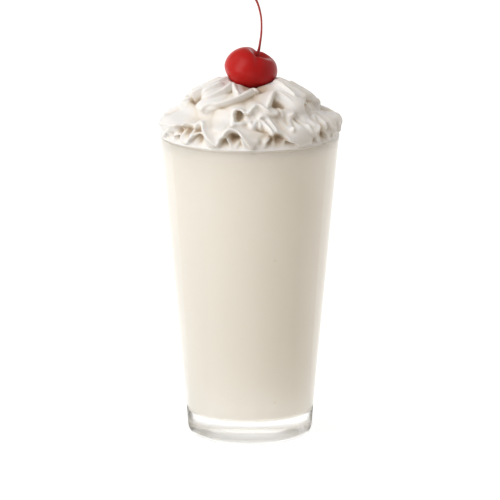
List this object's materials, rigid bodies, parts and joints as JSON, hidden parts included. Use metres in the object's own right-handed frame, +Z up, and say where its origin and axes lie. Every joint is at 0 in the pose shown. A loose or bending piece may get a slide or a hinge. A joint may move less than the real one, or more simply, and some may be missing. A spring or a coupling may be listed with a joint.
{
  "type": "milkshake",
  "caption": "Vanilla milkshake in a plain tapered pint glass, heaped with ruffled whipped cream and topped with a stemmed cherry.",
  "frame": {"origin": "on the glass's axis, at the table it stands on", "axes": "+Z up along the glass's axis, +X to the right and -Y towards the viewer as in the picture"},
  "size_m": [0.0916, 0.0915, 0.2318],
  "materials": {
    "clear_glass": "smooth polished clear glass",
    "vanilla_shake": "opaque creamy drink, seen through the glass",
    "cream": "soft whipped cream, satin",
    "cherry_skin": "wet glossy cocktail cherry skin",
    "stem": "dyed cherry stem, satin"
  },
  "bodies": {
    "root": {"glass": "clear_glass", "milkshake": "vanilla_shake", "whipped_cream": "cream", "cherry": "cherry_skin", "cherry_stem": "stem"}
  },
  "joints": []
}
